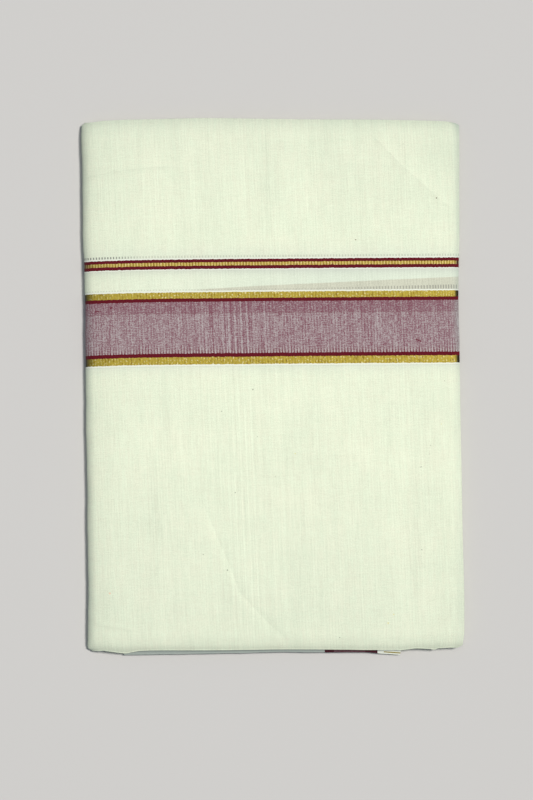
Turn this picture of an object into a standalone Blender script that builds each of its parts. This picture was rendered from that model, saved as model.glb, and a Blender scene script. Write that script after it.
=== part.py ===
"""A dhoti cloth folded into a flat packet, as a shop stacks it.

One long handloom cotton cloth is folded to about a fifth of its width, and the strip is then
folded to a tenth of its length. One fold wraps the packet along its left side, the spine.
The stretches that show are solids of their own, and the hidden leaves between them are one
solid with their rounded edges stepped all round.

Metres, +Z up. +X is across the packet, away from the spine. +Y is along it, away from the
tucked-in end. The packet lies on z = 0 and is centred on x = y = 0.
"""

import math
from collections import namedtuple

import bmesh
import bpy
import numpy as np
from mathutils import Vector

MM = 0.001
NEAR = 0.001 * MM

# The packet
PACK_WIDTH = 265.0 * MM
PACK_LENGTH = 377.0 * MM
RIM_HEIGHT = 12.2 * MM
CROWN_RISE = 1.9 * MM
CROWN_POWER = 4

# The cloth
LEAF = 1.4 * MM
TUCK = 1.0 * MM
SEAM = 0.3 * MM
SPINE_REACH = 6.5 * MM
INNER_LEAVES = 8
LEAF_VALLEY = 1.0 * MM

# The grid that all leaves share
GRID_PITCH = 13.0 * MM
BORDER_ZONE = 20.0 * MM
SPINE_STEPS = 8
SPINE_EASE = 5.0 * MM
# Closer grid lines where the leaves thin out, counted in from each edge
RIGHT_LINES = [6.0 * MM, 3.0 * MM, 1.2 * MM, 0.0]
TOP_LINES = [12.0 * MM, 7.0 * MM, 3.5 * MM, 1.2 * MM, 0.0]
BOTTOM_LINES = [0.0, 1.2 * MM, 3.0 * MM, 5.5 * MM, 9.0 * MM, 13.0 * MM]

HALF_WIDTH = PACK_WIDTH / 2
HALF_LENGTH = PACK_LENGTH / 2
SPINE_LINE = -HALF_WIDTH + SPINE_REACH

# The tucked-in end: a ply that shows below the front leaf, from x = TUCK_LEFT to TUCK_RIGHT
TUCK_LEFT = -106.0 * MM
TUCK_RIGHT = 87.2 * MM
TUCK_BACK = -160.0 * MM
TUCK_ROOM = 1.2 * MM
TUCK_FADE = 6.0 * MM

# How far each edge of a leaf stands back from the packet's box, in mm, along that edge in mm
EdgeRow = namedtuple("EdgeRow", "along inset")

FRONT_LEFT = [
    EdgeRow(-182, 0.6), EdgeRow(-162, 1.1), EdgeRow(-120, 1.4), EdgeRow(-50, 1.3), EdgeRow(6, 1.0),
    EdgeRow(48, 1.4), EdgeRow(76, 0.9), EdgeRow(104, 0.4), EdgeRow(132, 0.2), EdgeRow(182, 0.0),
]
FRONT_RIGHT = [
    EdgeRow(-184, 1.1), EdgeRow(-176, 0.2), EdgeRow(-151, 0.0), EdgeRow(-95, 0.8), EdgeRow(-10, 1.4),
    EdgeRow(31, 1.4), EdgeRow(46, 1.8), EdgeRow(60, 1.9), EdgeRow(74, 1.6), EdgeRow(101, 0.7),
    EdgeRow(178, 0.0),
]
FRONT_TOP = [
    EdgeRow(-128, 2.4), EdgeRow(-118, 1.2), EdgeRow(-100, 0.5), EdgeRow(-50, 0.0), EdgeRow(-7, 0.8),
    EdgeRow(35, 1.7), EdgeRow(77, 2.5), EdgeRow(108, 3.3), EdgeRow(125, 4.0), EdgeRow(132, 5.2),
]
FRONT_BOTTOM = [
    EdgeRow(-130, 5.2), EdgeRow(-120, 4.6), EdgeRow(-60, 4.2), EdgeRow(0, 4.2), EdgeRow(37, 3.7),
    EdgeRow(70, 3.3), EdgeRow(87, 3.1), EdgeRow(98, 3.6), EdgeRow(126, 4.5),
]
TUCK_BOTTOM = [
    EdgeRow(-106, 2.0), EdgeRow(-60, 2.3), EdgeRow(-18, 2.6), EdgeRow(3, 3.0), EdgeRow(24, 2.5),
    EdgeRow(66, 2.2), EdgeRow(74, 1.1), EdgeRow(87, 0.0),
]

# How far each hidden leaf stands back from the front leaf's edges, in mm, from the top leaf
# down, with a slow wander along the edge. The right side shows one fold for a pair of leaves.
LeafRow = namedtuple("LeafRow", "right top bottom wander waves phase")

HIDDEN_LEAVES = [
    LeafRow(0.9, 1.0, 1.1, 0.20, 2.0, 0.0),
    LeafRow(1.0, 0.6, 0.7, 0.25, 1.5, 0.6),
    LeafRow(1.9, 1.5, 1.3, 0.30, 2.5, 0.5),
    LeafRow(1.8, 0.7, 0.4, 0.20, 1.2, 0.7),
    LeafRow(0.5, 1.2, 1.0, 0.30, 1.8, 0.2),
    LeafRow(0.6, 0.5, 0.3, 0.25, 2.2, 0.5),
    LeafRow(1.6, 1.4, 1.2, 0.25, 1.6, 0.4),
    LeafRow(1.4, 0.8, 0.6, 0.20, 2.8, 0.8),
]
BACK_LEAF = LeafRow(0.9, 1.2, 0.9, 0.25, 1.4, 0.2)
# The front leaf draws in at the border bands, but the leaves below it never by more than this
STACK_INSET = 1.6 * MM
# Inside a pair of leaves the valley is shallow
PAIR_VALLEY = 0.25 * MM
# The hidden leaves draw back from the spine's fold near its two open ends
MOUTH_DEPTH = 1.5 * MM
MOUTH_REACH = 6.0 * MM

# Each edge's droop: the leaves thin out towards their folds, so the surface falls there
Droop = namedtuple("Droop", "reach depth")

DROOPS = {
    "left": Droop(20.0 * MM, 3.0 * MM),
    "right": Droop(5.0 * MM, 1.4 * MM),
    "top": Droop(14.0 * MM, 2.8 * MM),
    "bottom": Droop(12.0 * MM, 3.2 * MM),
}

# A leaf that reaches past the front leaf's edge falls no further than at this share
DROOP_SHARE_MOST = 1.3

# Plan radius of each corner
CORNERS = {
    ("left", "top"): 1.6 * MM,
    ("right", "top"): 2.2 * MM,
    ("left", "bottom"): 2.6 * MM,
    ("right", "bottom"): 3.2 * MM,
}

# Soft folds pressed into the front leaf, in mm: a ridge where height is above zero, a trough
# where it is below. bow is how far its middle stands off the straight line.
Fold = namedtuple("Fold", "start_x start_y end_x end_y bow width height")

FRONT_FOLDS = [
    Fold(-56, -76, 4, -184, -6.0, 9.0, 0.7),
    Fold(-82, -52, -76, -110, 0.0, 8.0, 0.4),
    Fold(-126, 148, -76, 157, 0.0, 10.0, 0.4),
    Fold(70, 178, 130, 120, -3.0, 9.0, 0.5),
    Fold(-128, -166, -100, -171, 0.0, 9.0, -0.4),
    Fold(-70, 14, -70, -50, 0.0, 12.0, 0.3),
    Fold(98, 8, 99, -150, 0.0, 10.0, -0.4),
]

# Section of a leaf's folded edge: out from the wall's end, up from its middle, as shares of
# half the wall
NOSE = [(1.0, 0.45), (1.0, -0.45)]

# Where a hidden leaf's rounded edge has its two shoulders, as a share of the leaf's thickness
SHOULDER = 0.26
# Faces that meet at more than this angle keep a sharp edge
SHARP_ANGLE = math.radians(40)

CREAM = (0.80, 0.84, 0.64, 1.0)
MAUVE = (0.38, 0.24, 0.27, 1.0)
CLOTH_ROUGHNESS = 0.9


def clear_scene():
    """Remove every object that the scene opens with."""
    for item in list(bpy.data.objects):
        bpy.data.objects.remove(item, do_unlink=True)


def lookup(table, along):
    """An edge table's inset at a place along the edge, in metres."""
    places = [row.along * MM for row in table]
    insets = [row.inset * MM for row in table]
    return float(np.interp(along, places, insets))


def corner_inset(radius, distance):
    """How far a round corner draws a grid line in, at this distance from the other edge."""
    if distance >= radius:
        return 0.0
    return radius - math.sqrt(radius ** 2 - (radius - distance) ** 2)


def front_inset(side, along):
    """How far the front leaf's edge stands back from the packet's box."""
    tables = {"left": FRONT_LEFT, "right": FRONT_RIGHT, "top": FRONT_TOP, "bottom": FRONT_BOTTOM}
    return lookup(tables[side], along)


def hidden_inset(row, side, along):
    """How far a hidden leaf's edge stands back: its base line, its own step, and a wander."""
    base = front_inset(side, along)
    if side == "left":
        return base
    if side == "right":
        base = min(base, STACK_INSET)
    span = PACK_LENGTH if side == "right" else PACK_WIDTH
    wander = row.wander * MM * math.sin(math.tau * (row.waves * along / span + row.phase))
    return base + getattr(row, side) * MM + wander


def place(x, y, inset):
    """Move a grid point from the packet's box to a leaf whose edges stand back by inset()."""
    to_edge = {
        "left": x - SPINE_LINE,
        "right": HALF_WIDTH - x,
        "bottom": y + HALF_LENGTH,
        "top": HALF_LENGTH - y,
    }
    draw = {
        "left": inset("left", y),
        "right": inset("right", y),
        "bottom": inset("bottom", x),
        "top": inset("top", x),
    }
    for (across, along), radius in CORNERS.items():
        draw[across] += corner_inset(radius, to_edge[along])
    shift = {side: draw[side] * zone_share(to_edge[side]) for side in draw}
    return x + shift["left"] - shift["right"], y + shift["bottom"] - shift["top"]


def zone_share(distance):
    """1 on an edge, falling to 0 where the border zone ends."""
    return max(0.0, 1.0 - distance / BORDER_ZONE)


def fold_height(fold, x, y):
    """Height that one soft fold adds at a point."""
    start = Vector((fold.start_x, fold.start_y)) * MM
    end = Vector((fold.end_x, fold.end_y)) * MM
    run = end - start
    share = (Vector((x, y)) - start).dot(run) / run.length_squared
    if not 0.0 < share < 1.0:
        return 0.0
    across = Vector((-run.y, run.x)).normalized()
    off = (Vector((x, y)) - start - run * share).dot(across)
    off -= fold.bow * MM * math.sin(math.pi * share)
    return fold.height * MM * math.sin(math.pi * share) * math.exp(-(off / (fold.width * MM)) ** 2)


def pack_height(x, y):
    """Height of the front leaf's outer face over the floor."""
    pillow = (1 - (x / HALF_WIDTH) ** CROWN_POWER) * (1 - (y / HALF_LENGTH) ** CROWN_POWER)
    height = RIM_HEIGHT + CROWN_RISE * pillow
    height += sum(fold_height(fold, x, y) for fold in FRONT_FOLDS)
    gaps = {
        "left": x + HALF_WIDTH - front_inset("left", y),
        "right": HALF_WIDTH - front_inset("right", y) - x,
        "top": HALF_LENGTH - front_inset("top", x) - y,
        "bottom": y + HALF_LENGTH - front_inset("bottom", x),
    }
    for side, droop in DROOPS.items():
        near = min(1.0 - gaps[side] / droop.reach, DROOP_SHARE_MOST)
        if near > 0.0:
            height -= droop.depth * near ** 2
    return height


def rebate(x, y):
    """How much the hidden leaves drop to make room for the tucked-in end."""
    ahead = TUCK_LEFT - TUCK_ROOM - x
    behind = x - TUCK_RIGHT - TUCK_ROOM
    above = y - TUCK_BACK - TUCK_ROOM
    away = max(ahead, behind, above, 0.0)
    return (TUCK + SEAM) * max(0.0, 1.0 - away / TUCK_FADE)


def lines_through(stops, pitch):
    """Grid lines through every stop, with even steps of at most the pitch between them."""
    lines = [stops[0]]
    for start, end in zip(stops, stops[1:]):
        count = max(1, math.ceil((end - start) / pitch))
        lines += [start + (end - start) * step / count for step in range(1, count + 1)]
    return lines


def grid_columns():
    """The shared grid's x lines, from the spine to the right edge."""
    stops = [
        SPINE_LINE,
        SPINE_LINE + SPINE_EASE,
        TUCK_LEFT - TUCK_ROOM - TUCK_FADE,
        TUCK_LEFT - TUCK_ROOM,
        TUCK_LEFT,
        TUCK_RIGHT,
        TUCK_RIGHT + TUCK_ROOM,
        TUCK_RIGHT + TUCK_ROOM + TUCK_FADE,
    ]
    return lines_through(stops + [HALF_WIDTH - line for line in RIGHT_LINES], GRID_PITCH)


def grid_rows():
    """The shared grid's y lines, from the bottom edge to the top edge."""
    stops = [line - HALF_LENGTH for line in BOTTOM_LINES]
    stops += [TUCK_BACK, TUCK_BACK + TUCK_ROOM, TUCK_BACK + TUCK_ROOM + TUCK_FADE]
    return lines_through(stops + [HALF_LENGTH - line for line in TOP_LINES], GRID_PITCH)


def border_loop(columns, rows):
    """Grid indices round the border, once, anticlockwise seen from above."""
    last_column = columns - 1
    last_row = rows - 1
    loop = [(i, 0) for i in range(last_column)]
    loop += [(last_column, j) for j in range(last_row)]
    loop += [(i, last_row) for i in range(last_column, 0, -1)]
    loop += [(0, j) for j in range(last_row, 0, -1)]
    return loop


def border_outward(i, j, columns, rows, flat_left):
    """Unit plan vector out of the border at a grid index. A flat left end has none."""
    out = Vector((0.0, 0.0, 0.0))
    if i == 0 and not flat_left:
        out.x -= 1.0
    if i == columns - 1:
        out.x += 1.0
    if j == 0:
        out.y -= 1.0
    if j == rows - 1:
        out.y += 1.0
    return out.normalized() if out.length > 0 else out


def add_band(mesh, lower, upper):
    """Join two rings of the same length with quads."""
    count = len(lower)
    for k in range(count):
        after = (k + 1) % count
        mesh.faces.new((lower[k], lower[after], upper[after], upper[k]))


def add_sheet(mesh, points):
    """Add a grid of points with its quads. Returns the grid of vertices."""
    grid = [[mesh.verts.new(point) for point in column] for column in points]
    for i in range(len(grid) - 1):
        for j in range(len(grid[0]) - 1):
            mesh.faces.new((grid[i][j], grid[i + 1][j], grid[i + 1][j + 1], grid[i][j + 1]))
    return grid


def wall_mesh(outer, inner, flat_left=False):
    """A closed wall between two grids of points, its free edges rounded like a fold."""
    mesh = bmesh.new()
    columns = len(outer)
    rows = len(outer[0])
    loop = border_loop(columns, rows)
    outer_grid = add_sheet(mesh, outer)
    inner_grid = add_sheet(mesh, inner)
    rings = [[outer_grid[i][j] for i, j in loop]]
    for out_share, up_share in NOSE:
        ring = []
        for i, j in loop:
            middle = (outer[i][j] + inner[i][j]) / 2
            half = (outer[i][j] - inner[i][j]) / 2
            outward = border_outward(i, j, columns, rows, flat_left)
            ring.append(mesh.verts.new(middle + outward * half.length * out_share + half * up_share))
        rings.append(ring)
    rings.append([inner_grid[i][j] for i, j in loop])
    for upper, lower in zip(rings, rings[1:]):
        add_band(mesh, lower, upper)
    return mesh


def finish_object(name, mesh, material):
    """Turn a bmesh into a named object with its material."""
    bmesh.ops.triangulate(mesh, faces=mesh.faces[:], quad_method="FIXED")
    bmesh.ops.recalc_face_normals(mesh, faces=mesh.faces[:])
    data = bpy.data.meshes.new(name)
    mesh.to_mesh(data)
    mesh.free()
    data.materials.append(material)
    data.shade_smooth()
    data.set_sharp_from_angle(angle=SHARP_ANGLE)
    part = bpy.data.objects.new(name, data)
    bpy.context.collection.objects.link(part)
    return part


def cloth_material(name, colour):
    """Plain woven cotton in one colour."""
    material = bpy.data.materials.new(name)
    material.use_nodes = True
    shader = material.node_tree.nodes["Principled BSDF"]
    shader.inputs["Base Color"].default_value = colour
    shader.inputs["Roughness"].default_value = CLOTH_ROUGHNESS
    shader.inputs["Metallic"].default_value = 0.0
    material.diffuse_color = colour
    return material


def front_edge(side, along):
    """The front leaf's wall ends half a leaf short of its edge, where the nose begins."""
    if side == "left":
        return front_inset(side, along)
    return front_inset(side, along) + LEAF / 2


def spine_points(x, y, depth):
    """Points up the spine's half round, from its foot to its top, at a depth in the wall. The
    surface goes on falling round it, as it does on the display face beside it."""
    points = []
    for step in range(SPINE_STEPS):
        turn = math.pi * (1.0 - step / SPINE_STEPS)
        top = pack_height(x - SPINE_REACH * math.sin(turn), y)
        points.append(Vector((
            x - (SPINE_REACH - depth) * math.sin(turn),
            y,
            top / 2 + (top / 2 - depth) * math.cos(turn),
        )))
    return points


def front_panel(material):
    """The front leaf: the display face, turned down round the spine to the floor."""
    columns = grid_columns()
    rows = grid_rows()
    faces = []
    for depth in (0.0, LEAF):
        spine = []
        for y_line in rows:
            x, y = place(columns[0], y_line, front_edge)
            spine.append(spine_points(x, y, depth))
        grid = [[spine[j][step] for j in range(len(rows))] for step in range(SPINE_STEPS)]
        for x_line in columns:
            column = []
            for y_line in rows:
                x, y = place(x_line, y_line, front_edge)
                column.append(Vector((x, y, pack_height(x, y) - depth)))
            grid.append(column)
        faces.append(grid)
    return finish_object("front_panel", wall_mesh(faces[0], faces[1], flat_left=True), material)


def back_panel(material):
    """The back leaf, which lies flat on the floor from the spine's foot to the right edge."""
    columns = grid_columns()
    rows = grid_rows()

    def inset(side, along):
        if side == "left":
            return front_inset(side, along) + SEAM
        return hidden_inset(BACK_LEAF, side, along) + LEAF / 2

    mesh = bmesh.new()
    rings = []
    for out_share, up_share in [(0.0, 1.0)] + NOSE + [(0.0, -1.0)]:
        ring = []
        for i, j in border_loop(len(columns), len(rows)):
            x, y = place(columns[i], rows[j], inset)
            outward = border_outward(i, j, len(columns), len(rows), True)
            point = Vector((x, y, LEAF / 2 * (1 + up_share)))
            ring.append(mesh.verts.new(point + outward * LEAF / 2 * out_share))
        rings.append(ring)
    for upper, lower in zip(rings, rings[1:]):
        add_band(mesh, lower, upper)
    mesh.faces.new(rings[0])
    mesh.faces.new(list(reversed(rings[-1])))
    return finish_object("back_panel", mesh, material)


def tucked_end(material):
    """The cloth's own end, tucked between the front leaf and the rest, showing below it."""
    columns = [x for x in grid_columns() if TUCK_LEFT - NEAR < x < TUCK_RIGHT + NEAR]
    rows = [y for y in grid_rows() if y < TUCK_BACK + NEAR]
    faces = []
    for depth in (0.0, TUCK):
        grid = []
        for x in columns:
            column = []
            for y_line in rows:
                stand_back = lookup(TUCK_BOTTOM, x) + TUCK / 2
                y = y_line + stand_back * zone_share(y_line + HALF_LENGTH)
                column.append(Vector((x, y, pack_height(x, y) - LEAF - SEAM - depth)))
            grid.append(column)
        faces.append(grid)
    return finish_object("tucked_end", wall_mesh(faces[0], faces[1]), material)


def layer_rings():
    """The hidden leaves' side rings, from the top down: height share, leaf, and if a valley."""
    rings = []
    for index in range(INNER_LEAVES):
        top = 1.0 - index / INNER_LEAVES
        if index > 0:
            rings.append((top, index, True))
        rings.append((top - SHOULDER / INNER_LEAVES, index, False))
        rings.append((top - (1 - SHOULDER) / INNER_LEAVES, index, False))
    return rings


def layer_inset(index, valley, height_share):
    """The inset function for one ring of the hidden leaves."""
    room = SPINE_REACH - LEAF - SEAM
    turn = math.acos(2 * height_share - 1)

    def inset(side, along):
        if side == "left":
            mouth = max(0.0, 1.0 - (HALF_LENGTH - abs(along)) / MOUTH_REACH)
            return front_inset("left", along) + MOUTH_DEPTH * mouth - room * math.sin(turn)
        row = HIDDEN_LEAVES[index]
        if not valley:
            return hidden_inset(row, side, along)
        above = hidden_inset(HIDDEN_LEAVES[index - 1], side, along)
        deeper = max(above, hidden_inset(row, side, along))
        paired = side == "right" and index % 2 == 1
        return deeper + (PAIR_VALLEY if paired else LEAF_VALLEY)

    return inset


def folded_layers(material):
    """The hidden leaves as one rounded solid, its edges stepped leaf by leaf."""
    columns = grid_columns()
    rows = grid_rows()
    loop = border_loop(len(columns), len(rows))
    floor = LEAF + SEAM

    def cap_inset(side, along):
        if side == "left":
            return front_inset("left", along)
        return hidden_inset(HIDDEN_LEAVES[0], side, along) + LEAF_VALLEY

    def foot_inset(side, along):
        if side == "left":
            return front_inset("left", along)
        return hidden_inset(HIDDEN_LEAVES[-1], side, along) + LEAF_VALLEY

    def top_height(x, y):
        return pack_height(x, y) - LEAF - SEAM - rebate(x, y)

    mesh = bmesh.new()
    cap = []
    for x_line in columns:
        column = []
        for y_line in rows:
            x, y = place(x_line, y_line, cap_inset)
            column.append(Vector((x, y, top_height(x, y))))
        cap.append(column)
    cap_grid = add_sheet(mesh, cap)
    rings = [[cap_grid[i][j] for i, j in loop]]
    for height_share, index, valley in layer_rings():
        inset = layer_inset(index, valley, height_share)
        to_spine = (LEAF + SEAM) * math.sin(math.acos(2 * height_share - 1))
        ring = []
        for i, j in loop:
            x, y = place(columns[i], rows[j], inset)
            top = top_height(x - to_spine if i == 0 else x, y)
            ring.append(mesh.verts.new((x, y, floor + (top - floor) * height_share)))
        rings.append(ring)
    foot = []
    for i, j in loop:
        x, y = place(columns[i], rows[j], foot_inset)
        foot.append(mesh.verts.new((x, y, floor)))
    rings.append(foot)
    for upper, lower in zip(rings, rings[1:]):
        add_band(mesh, lower, upper)
    mesh.faces.new(list(reversed(foot)))
    return finish_object("folded_layers", mesh, material)


def main():
    clear_scene()
    cream = cloth_material("cream_cotton", CREAM)
    border = cloth_material("mauve_border", MAUVE)
    packet = bpy.data.objects.new("packet", None)
    bpy.context.collection.objects.link(packet)
    for part in (front_panel(cream), folded_layers(cream), tucked_end(border), back_panel(cream)):
        part.parent = packet


main()
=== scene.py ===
"""The look of a dhoti cloth that lies folded into a flat packet.

Its leaves are fine closed walls on the CAD part's form. Their point attribute "cloth" holds
the place on the woven cloth, across and along, and the materials weave the stripes from it.

Metres, +Z up. +X is across the packet, away from the spine, and +Y is along it, away from the
tucked-in end.
"""

import math
from collections import namedtuple

import bpy
import numpy as np
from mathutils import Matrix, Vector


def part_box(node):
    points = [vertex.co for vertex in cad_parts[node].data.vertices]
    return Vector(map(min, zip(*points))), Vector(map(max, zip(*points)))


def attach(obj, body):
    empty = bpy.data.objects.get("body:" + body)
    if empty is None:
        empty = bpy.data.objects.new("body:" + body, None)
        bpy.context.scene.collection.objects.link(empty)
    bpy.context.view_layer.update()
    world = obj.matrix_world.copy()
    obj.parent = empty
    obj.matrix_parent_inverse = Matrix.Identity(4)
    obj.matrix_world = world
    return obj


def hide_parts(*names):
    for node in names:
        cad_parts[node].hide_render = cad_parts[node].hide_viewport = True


MM = 0.001

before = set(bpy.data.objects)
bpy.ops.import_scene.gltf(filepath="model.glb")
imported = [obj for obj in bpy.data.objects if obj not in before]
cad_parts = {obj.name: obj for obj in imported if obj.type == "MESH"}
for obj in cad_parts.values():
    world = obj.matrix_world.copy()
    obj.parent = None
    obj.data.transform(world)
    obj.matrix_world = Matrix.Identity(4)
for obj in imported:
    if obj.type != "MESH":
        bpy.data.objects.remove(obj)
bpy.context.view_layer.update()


def rows(kind, *values):
    """A table: one named row for each tuple."""
    return [kind(*value) for value in values]


def together(*parts):
    """Arrays of coordinates as one array of places."""
    return np.stack(parts, axis=-1)


def link(name, data):
    """A new object in the scene."""
    made = bpy.data.objects.new(name, data)
    bpy.context.scene.collection.objects.link(made)
    return made


# ---- Sizes shared with the CAD part ----

RIM_HEIGHT = 12.2 * MM
CROWN_RISE = 1.9 * MM
CROWN_POWER = 4
LEAF = 1.4 * MM
TUCK = 1.0 * MM
SEAM = 0.3 * MM
SPINE_REACH = 6.5 * MM
BORDER_ZONE = 20.0 * MM

HALF_WIDTH = 132.5 * MM
HALF_LENGTH = 188.5 * MM
SPINE_LINE = -HALF_WIDTH + SPINE_REACH

TUCK_LEFT = -106.0 * MM
TUCK_RIGHT = 87.2 * MM
TUCK_BACK = -160.0 * MM
TUCK_ROOM = 1.2 * MM
TUCK_FADE = 6.0 * MM
# The end's thin edge hangs out a little past the CAD part's
END_REACH = 0.8 * MM

# How far an edge stands back from the packet's box, in mm, at places along it in mm
FRONT_EDGES = {
    "left": [
        (-182, 0.6), (-162, 1.1), (-120, 1.4), (-50, 1.3), (6, 1.0), (48, 1.4), (76, 0.9),
        (104, 0.4), (132, 0.2), (182, 0.0)],
    "right": [
        (-184, 1.1), (-176, 0.2), (-151, 0.0), (-95, 0.8), (-10, 1.4), (31, 1.4), (46, 1.8),
        (60, 1.9), (74, 1.6), (101, 0.7), (178, 0.0)],
    "top": [
        (-128, 2.4), (-118, 1.2), (-100, 0.5), (-50, 0.0), (-7, 0.8), (35, 1.7), (77, 2.5),
        (108, 3.3), (125, 4.0), (132, 5.2)],
    "bottom": [
        (-130, 5.2), (-120, 4.6), (-60, 4.2), (0, 4.2), (37, 3.7), (70, 3.3), (87, 3.1), (98, 3.6),
        (126, 4.5)],
}
TUCK_BOTTOM = [
    (-106, 2.0), (-60, 2.3), (-18, 2.6), (3, 3.0), (24, 2.5), (66, 2.2), (74, 1.1), (87, 0.0)]

# How far each pair of hidden leaves stands back from the front leaf, in mm, from the top
# pair down: its one fold at the right, and the two leaves' folds at each end
PairRow = namedtuple("PairRow", "right top_upper top_lower bottom_upper bottom_lower")

LEAF_PAIRS = rows(PairRow,
    (0.95, 1.0, 0.6, 1.1, 0.7), (1.85, 1.5, 0.7, 1.3, 0.4), (0.55, 1.2, 0.5, 1.0, 0.3),
    (1.50, 1.4, 0.8, 1.2, 0.6))
# The same for the back leaf
BACK_INSETS = {"right": 0.9, "top": 1.2, "bottom": 0.9}
STACK_INSET = 1.6 * MM
MOUTH_DEPTH = 1.5 * MM
MOUTH_REACH = 6.0 * MM

# How edges roll down: over which reach and how far, in mm
DROOPS = {"left": (20.0, 3.0), "right": (5.0, 1.4), "top": (14.0, 2.8), "bottom": (12.0, 3.2)}
DROOP_SHARE_MOST = 1.3

CORNERS = {("left", "top"): 1.6 * MM, ("right", "top"): 2.2 * MM,
           ("left", "bottom"): 2.6 * MM, ("right", "bottom"): 3.2 * MM}

# Broad soft folds in the front leaf, in mm, as in the CAD part
Fold = namedtuple("Fold", "start end bow width height")

FRONT_FOLDS = rows(Fold,
    ((-56, -76), (4, -184), -6.0, 9.0, 0.7), ((-82, -52), (-76, -110), 0.0, 8.0, 0.4),
    ((-126, 148), (-76, 157), 0.0, 10.0, 0.4), ((70, 178), (130, 120), -3.0, 9.0, 0.5),
    ((-128, -166), (-100, -171), 0.0, 9.0, -0.4), ((-70, 14), (-70, -50), 0.0, 12.0, 0.3),
    ((98, 8), (99, -150), 0.0, 10.0, -0.4))

# ---- Sizes of the fine form ----

# Creases: a path in mm, half the width, the ridge's height, how much wider it is at the
# path's left than right, and the strength of the fine line on its crest, for the bump
Crease = namedtuple("Crease", "path width height skew crest", defaults=[0.0, 0.0])
# 2 makes a crest round, and 1 sharp
CREASE_POWER = 1.15

FRONT_CREASES = rows(Crease,
    ([(-50.5, -79), (-38.4, -108.4), (-29.5, -129.5), (-24.8, -143.6), (-8.9, -161.2),
      (5.0, -175.4), (10, -183)], 2.8, -0.66, 0.0, -1.8),
    ([(-36, -128), (-27, -160), (-20, -182)], 1.7, 0.07),
    ([(-81.8, -48), (-80.8, -78), (-78, -103.1), (-75.8, -116)], 1.7, 0.22, -0.35, 1.2),
    ([(-134, 147.0), (-104, 152.5), (-79.4, 154.9), (-60, 154.4)], 1.8, 0.80, 0.0, 5.5),
    ([(62.5, 185.6), (73.9, 173.5), (91.2, 154.4), (118.9, 129.6), (132, 121)],
     1.6, 0.36, 0.0, 1.8),
    ([(-72.1, 16), (-71.2, -20), (-70.4, -56)], 1.5, 0.30, -0.1),
    ([(-131, -163.8), (-117, -166.2), (-99, -169.2)], 1.6, 0.50, 0.3, 1.2),
    ([(103, -112), (104, -160)], 1.5, 0.06), ([(69.7, -38), (70.2, -86)], 1.5, -0.14),
    ([(58, -146), (66, -186)], 2.4, 0.14, 0.3), ([(-60, -168), (-57, -187)], 2.4, 0.18, 0.3),
    ([(-118, -170), (-111, -187)], 2.2, 0.15, -0.3), ([(106, -168), (118, -187)], 2.4, 0.19, 0.3),
    ([(-16, 174), (-22, 190)], 2.2, 0.13, 0.3), ([(24, 168), (22, 190)], 2.8, -0.12),
    ([(-134, -62), (-118, -58), (-107, -57)], 1.8, 0.16, 0.3),
    ([(-134, 14), (-120, 17), (-110, 17)], 2.2, -0.14))
BACK_CREASES = rows(Crease,
    ([(84, 176), (52, 128), (41, 96), (36, 60)], 2.2, -0.36, -0.3),
    ([(-96, 120), (-88, 74), (-90, 31)], 1.9, -0.26, -0.3),
    ([(131, -96), (96, -118), (70, -128)], 2.0, -0.30, -0.3),
    ([(-118, -148), (-92, -162), (-74, -183)], 2.0, -0.34, -0.3), ([(4, 186), (5, 92)], 1.8, -0.20),
    ([(-31, -20), (-28, -92), (-30, -150)], 1.9, -0.20))

# Slow swells: the wavelength and height in mm
Swell = namedtuple("Swell", "length slant phase height")

FRONT_SWELLS = rows(Swell,
    (92, 0.25, 0.10, 0.10), (57, 1.20, 0.62, 0.06), (38, 2.05, 0.35, 0.035),
    (27, 0.70, 0.80, 0.022), (18, 1.75, 0.15, 0.012))
# Puckers that run round the spine, along its length
SPINE_SWELLS = rows(Swell,
    (71, math.pi / 2, 0.20, 0.16), (33, math.pi / 2, 0.55, 0.09), (14, math.pi / 2, 0.90, 0.04),
    (8.5, math.pi / 2, 0.31, 0.02))
SPINE_FULLNESS = 0.2 * MM
RELIEF_RUN = (SPINE_LINE - 6.0 * MM, SPINE_LINE + 4.0 * MM)
LIP_RUN = (HALF_LENGTH - 8.0 * MM, HALF_LENGTH)
LIP_SWELLS = rows(Swell, (23, 0.0, 0.3, 0.06), (9, 0.1, 0.1, 0.03))

# The outermost plies turn harder than the leaf, at the right edge in its upper part alone
HARD_TURNS = {"right": (6.5, 1.7), "top": (5.0, 0.8), "bottom": (4.5, 1.1)}
RIGHT_TURN_FROM = -30.0 * MM
RIGHT_TURN_FULL = 20.0 * MM

# The front leaf's plies end unevenly at the bottom
FRAY = [
    (-131, -0.8), (-128.5, -1.1), (-123, -0.1), (-116, -0.9), (-109, -1.8), (-105, -2.2),
    (-101, -1.3), (-96, -0.4), (-88, 0.0), (84, 0.0), (87, -0.4), (98, 0.4), (103, 0.0),
    (108, -0.6), (111.6, -1.3), (114.4, -0.2), (122, -0.3), (131, -0.4)]

# A crest's fine line, in mm: half its width, and how far it fades at its ends
CREST_REACH = 1.1
CREST_FADE = 9.0

FRONT_PITCH_ACROSS = 1.2 * MM
FRONT_PITCH_ALONG = 1.35 * MM
BACK_PITCH = 2.4 * MM
END_PITCH = 1.1 * MM
PAIR_PITCH = 2.0 * MM
# Closer grid lines near a folded edge, counted in from it
EDGE_LINES = [2.6 * MM, 1.8 * MM, 1.1 * MM, 0.5 * MM, 0.0]

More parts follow.
